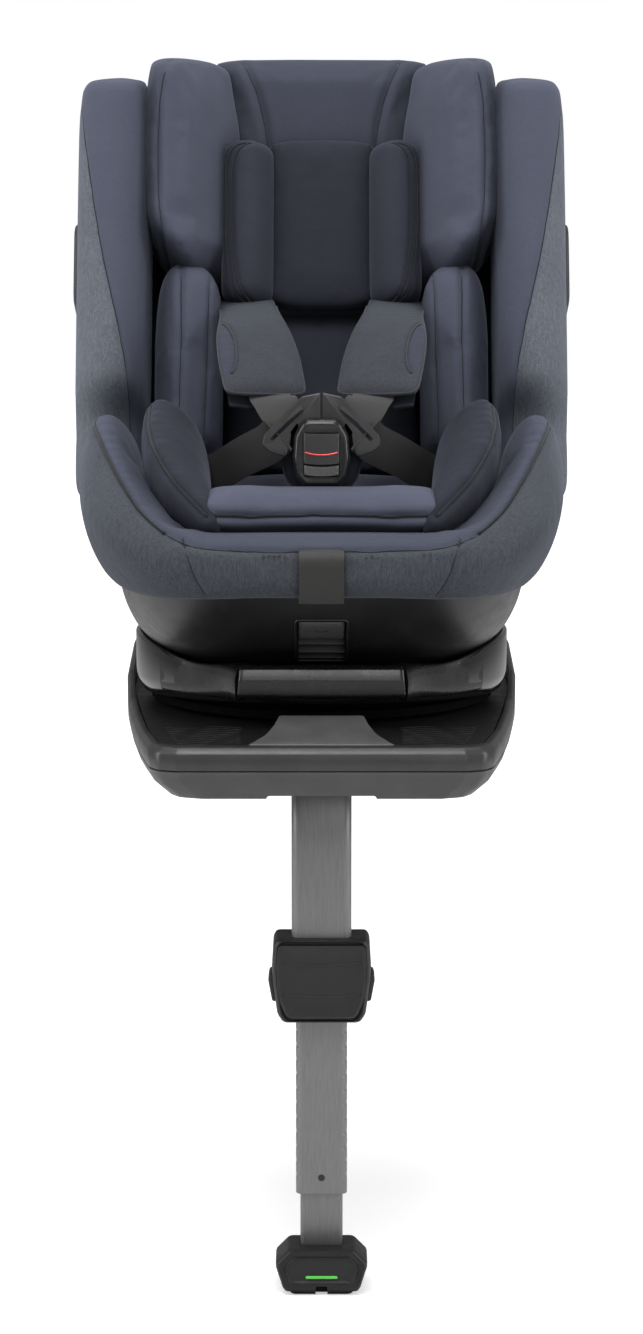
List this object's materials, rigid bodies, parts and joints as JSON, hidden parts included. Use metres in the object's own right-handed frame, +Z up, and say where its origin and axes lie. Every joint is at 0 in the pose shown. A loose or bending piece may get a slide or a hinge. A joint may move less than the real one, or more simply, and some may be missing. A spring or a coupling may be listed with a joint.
{
  "type": "convertible car seat",
  "caption": "Child car seat that swivels and reclines on an ISOFIX base with a folding telescopic support leg, a sliding headrest and a five point harness.",
  "frame": {"origin": "where the swivel axis meets the plane of the base's flat underside", "axes": "+Z up, the occupant faces -Y, +X to the right seen from the front"},
  "size_m": [0.4426, 0.61, 1.0324],
  "materials": {
    "navy_knit": "smooth knitted cloth",
    "heather_fabric": "melange woven cloth",
    "grey_plastic": "fine textured",
    "black_plastic": "semi gloss",
    "deck_black": "ribbed, matt",
    "webbing": "woven polyester webbing",
    "grey_anodised": "satin anodised",
    "steel": "brushed",
    "collar_plastic": "fine textured",
    "buckle_plastic": "satin",
    "red_button": "satin",
    "green_indicator": "clear lens over green",
    "rubber": "matt",
    "structural_foam": "moulded foam and plastic"
  },
  "bodies": {
    "base": {"base_lower_shell": "grey_plastic", "base_upper_shell": "grey_plastic", "base_deck_panel": "deck_black", "lower_bearing_race": "steel", "leg_hinge_pin": "steel"},
    "turntable": {"turntable_plate": "steel", "recline_cradle": "black_plastic"},
    "recline_handle": {"recline_handle": "black_plastic"},
    "seat": {"seat_tub": "black_plastic", "seat_frame": "structural_foam", "back_shell": "grey_plastic", "seat_cushion": "navy_knit", "thigh_wing_right": "heather_fabric", "thigh_wing_left": "heather_fabric", "side_bolster_right": "heather_fabric", "side_bolster_left": "heather_fabric", "backrest_pad": "navy_knit", "torso_insert_right": "navy_knit", "torso_insert_left": "navy_knit", "seat_insert": "navy_knit", "crotch_strap": "webbing", "crotch_pad": "navy_knit", "buckle_body": "buckle_plastic", "hip_strap_right": "webbing", "hip_strap_left": "webbing", "shoulder_strap_right": "webbing", "shoulder_strap_left": "webbing", "adjuster_strap": "webbing"},
    "headrest": {"headrest_shell": "structural_foam", "headrest_pad": "navy_knit", "headrest_wing_right": "navy_knit", "headrest_wing_left": "navy_knit", "head_insert": "navy_knit", "shoulder_pad_right": "heather_fabric", "shoulder_pad_left": "heather_fabric"},
    "headrest_lever": {"headrest_lever": "collar_plastic"},
    "rotation_lever": {"rotation_button": "collar_plastic"},
    "buckle_button": {"buckle_button": "red_button"},
    "tongue_right": {"buckle_tongue_right": "buckle_plastic"},
    "tongue_left": {"buckle_tongue_left": "buckle_plastic"},
    "harness_adjuster": {"harness_adjuster": "black_plastic"},
    "pod_right": {"side_pod_right": "black_plastic"},
    "pod_left": {"side_pod_left": "black_plastic"},
    "leg_upper": {"leg_upper_tube": "grey_anodised", "leg_collar": "collar_plastic"},
    "leg_button_right": {"leg_button_right": "collar_plastic"},
    "leg_button_left": {"leg_button_left": "collar_plastic"},
    "leg_middle": {"leg_middle_tube": "grey_anodised"},
    "leg_lower": {"leg_lower_tube": "grey_anodised", "foot_housing": "collar_plastic", "foot_indicator": "green_indicator"},
    "foot_sole": {"foot_sole": "rubber"},
    "isofix": {"isofix_frame": "steel", "isofix_connector_right": "black_plastic", "isofix_connector_left": "black_plastic"},
    "latch_right": {"isofix_latch_right": "steel"},
    "latch_left": {"isofix_latch_left": "steel"},
    "release_right": {"isofix_release_right": "red_button"},
    "release_left": {"isofix_release_left": "red_button"}
  },
  "joints": [
    {"name": "swivel", "type": "hinge", "parent": "base", "child": "turntable", "pos_m": [0, 0, 0.0465], "axis": [0, 0, 1], "continuous": true},
    {"name": "recline_handle_pull", "type": "slide", "parent": "turntable", "child": "recline_handle", "axis": [0, -1, 0], "range_m": [0, 0.005], "stiffness_N_per_m": 200},
    {"name": "recline", "type": "hinge", "parent": "turntable", "child": "seat", "pos_m": [0, 0, 0.345], "axis": [-1, 0, 0], "range_deg": [0, 20]},
    {"name": "headrest_height", "type": "slide", "parent": "seat", "child": "headrest", "axis": [0, 0.3746, 0.9272], "range_m": [0, 0.14]},
    {"name": "headrest_lever_lift", "type": "slide", "parent": "headrest", "child": "headrest_lever", "axis": [0, 0.3746, 0.9272], "range_m": [0, 0.006]},
    {"name": "rotation_lever_pull", "type": "hinge", "parent": "seat", "child": "rotation_lever", "pos_m": [0, -0.193, 0.1385], "axis": [-1, 0, 0], "range_deg": [0, 15]},
    {"name": "buckle_button_press", "type": "slide", "parent": "seat", "child": "buckle_button", "axis": [0, 1, 0], "range_m": [0, 0.004], "stiffness_N_per_m": 80},
    {"name": "tongue_release_right", "type": "slide", "parent": "seat", "child": "tongue_right", "axis": [0, 0, 1], "range_m": [0, 0.022]},
    {"name": "tongue_release_left", "type": "slide", "parent": "seat", "child": "tongue_left", "axis": [0, 0, 1], "range_m": [0, 0.022]},
    {"name": "harness_adjuster_press", "type": "hinge", "parent": "seat", "child": "harness_adjuster", "pos_m": [0, -0.198, 0.1965], "axis": [1, 0, 0], "range_deg": [0, 6]},
    {"name": "side_pod_right_out", "type": "slide", "parent": "seat", "child": "pod_right", "axis": [1, 0, 0], "range_m": [0, 0.02]},
    {"name": "side_pod_left_out", "type": "slide", "parent": "seat", "child": "pod_left", "axis": [-1, 0, 0], "range_m": [0, 0.02]},
    {"name": "leg_fold", "type": "hinge", "parent": "base", "child": "leg_upper", "pos_m": [0, -0.2, 0.011], "axis": [1, 0, 0], "range_deg": [-8, 79]},
    {"name": "leg_button_right_press", "type": "slide", "parent": "leg_upper", "child": "leg_button_right", "axis": [-1, 0, 0], "range_m": [0, 0.004], "stiffness_N_per_m": 100},
    {"name": "leg_button_left_press", "type": "slide", "parent": "leg_upper", "child": "leg_button_left", "axis": [1, 0, 0], "range_m": [0, 0.004], "stiffness_N_per_m": 100},
    {"name": "leg_middle_slide", "type": "slide", "parent": "leg_upper", "child": "leg_middle", "axis": [0, 0, -1], "range_m": [-0.085, 0.06]},
    {"name": "leg_lower_slide", "type": "slide", "parent": "leg_middle", "child": "leg_lower", "axis": [0, 0, -1], "range_m": [-0.038, 0.12]},
    {"name": "foot_sole_drop", "type": "slide", "parent": "leg_lower", "child": "foot_sole", "axis": [0, 0, -1], "range_m": [0, 0.004]},
    {"name": "isofix_extend", "type": "slide", "parent": "base", "child": "isofix", "axis": [0, 1, 0], "range_m": [0, 0.095]},
    {"name": "isofix_release_right_pull", "type": "slide", "parent": "isofix", "child": "release_right", "axis": [0, -1, 0], "range_m": [0, 0.007], "stiffness_N_per_m": 80},
    {"name": "isofix_latch_right_open", "type": "hinge", "parent": "isofix", "child": "latch_right", "pos_m": [0.14, 0.296, 0.0325], "axis": [1, 0, 0], "range_deg": [0, 25]},
    {"name": "isofix_release_left_pull", "type": "slide", "parent": "isofix", "child": "release_left", "axis": [0, -1, 0], "range_m": [0, 0.007], "stiffness_N_per_m": 80},
    {"name": "isofix_latch_left_open", "type": "hinge", "parent": "isofix", "child": "latch_left", "pos_m": [-0.14, 0.296, 0.0325], "axis": [1, 0, 0], "range_deg": [0, 25]}
  ],
  "couplings": [
    {"joint": "isofix_latch_right_open", "follows": "isofix_release_right_pull", "rad_per_m": 62},
    {"joint": "isofix_latch_left_open", "follows": "isofix_release_left_pull", "rad_per_m": 62}
  ]
}
